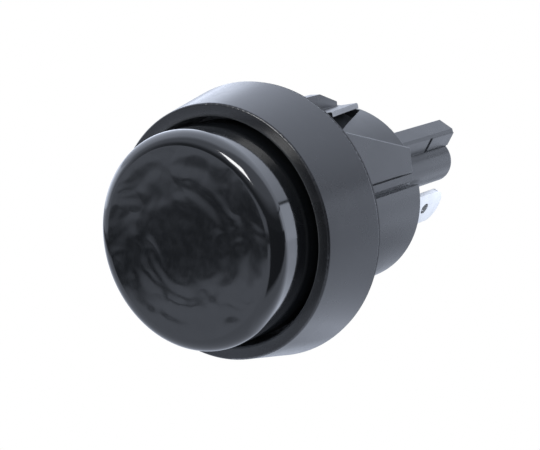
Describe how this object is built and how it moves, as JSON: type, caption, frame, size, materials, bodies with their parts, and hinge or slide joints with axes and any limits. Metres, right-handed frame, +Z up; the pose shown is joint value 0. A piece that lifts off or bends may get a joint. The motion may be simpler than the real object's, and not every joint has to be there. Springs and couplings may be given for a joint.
{
  "type": "momentary panel push button",
  "caption": "Round momentary push button with a tapered bezel, snap-in body with spring wings, double-break contact and flat blade terminals.",
  "frame": {"origin": "on the button's axis, in the plane of the panel's front face, where the gasket seats", "axes": "+Y along the axis from the cap towards the blades behind the panel, +Z up through the key rib, +X to the right seen from the front"},
  "size_m": [0.0364, 0.0508, 0.0364],
  "materials": {
    "bezel_plastic": "satin moulded black",
    "body_plastic": "satin moulded black",
    "cap_plastic": "polished black",
    "stem_plastic": "natural moulded",
    "bushing_plastic": "natural moulded, low friction",
    "seal_rubber": "matte black rubber",
    "blade_metal": "tin-plated brass",
    "bridge_brass": "bright stamped brass",
    "contact_silver": "silver alloy",
    "spring_steel": "drawn spring wire",
    "screw_steel": "zinc-plated steel"
  },
  "bodies": {
    "housing": {"bezel": "bezel_plastic", "panel_gasket": "seal_rubber", "bezel_seal": "seal_rubber", "body_shell": "body_plastic", "guide_bushing": "bushing_plastic", "stem_seal": "seal_rubber", "terminal_base": "body_plastic", "terminal_guard_a": "body_plastic", "terminal_guard_b": "body_plastic", "terminal_a": "blade_metal", "terminal_b": "blade_metal", "fixed_contact_a": "contact_silver", "fixed_contact_b": "contact_silver", "base_screw_a": "screw_steel", "base_screw_b": "screw_steel", "return_spring": "spring_steel"},
    "button": {"cap": "cap_plastic", "stem": "stem_plastic", "stem_clip": "spring_steel", "contact_spring": "spring_steel"},
    "bridge": {"contact_bridge": "bridge_brass", "moving_contact_a": "contact_silver", "moving_contact_b": "contact_silver"},
    "right_wing": {"wing_right": "body_plastic"},
    "top_wing": {"wing_top": "body_plastic"},
    "left_wing": {"wing_left": "body_plastic"},
    "bottom_wing": {"wing_bottom": "body_plastic"}
  },
  "joints": [
    {"name": "cap_press", "type": "slide", "parent": "housing", "child": "button", "axis": [0, 1, 0], "range_m": [0, 0.0035], "stiffness_N_per_m": 900, "springref_m": -0.0025, "deforming": ["return_spring"]},
    {"name": "bridge_travel", "type": "slide", "parent": "housing", "child": "bridge", "axis": [0, 1, 0], "range_m": [0, 0.00245], "deforming": ["contact_spring"]},
    {"name": "wing_right_fold", "type": "hinge", "parent": "housing", "child": "right_wing", "pos_m": [0.01125, 0.01, 0.003], "axis": [0, -1, 0], "range_deg": [0, 32], "stiffness_Nm_per_rad": 0.02},
    {"name": "wing_top_fold", "type": "hinge", "parent": "housing", "child": "top_wing", "pos_m": [0.00175, 0.01, 0.01195], "axis": [0, 1, 0], "range_deg": [0, 37], "stiffness_Nm_per_rad": 0.02},
    {"name": "wing_left_fold", "type": "hinge", "parent": "housing", "child": "left_wing", "pos_m": [-0.01125, 0.01, -0.003], "axis": [0, -1, 0], "range_deg": [0, 32], "stiffness_Nm_per_rad": 0.02},
    {"name": "wing_bottom_fold", "type": "hinge", "parent": "housing", "child": "bottom_wing", "pos_m": [-0.00175, 0.01, -0.01195], "axis": [0, 1, 0], "range_deg": [0, 37], "stiffness_Nm_per_rad": 0.02}
  ],
  "couplings": [
    {"joint": "bridge_travel", "follows": "cap_press", "ratio": 0.7}
  ]
}
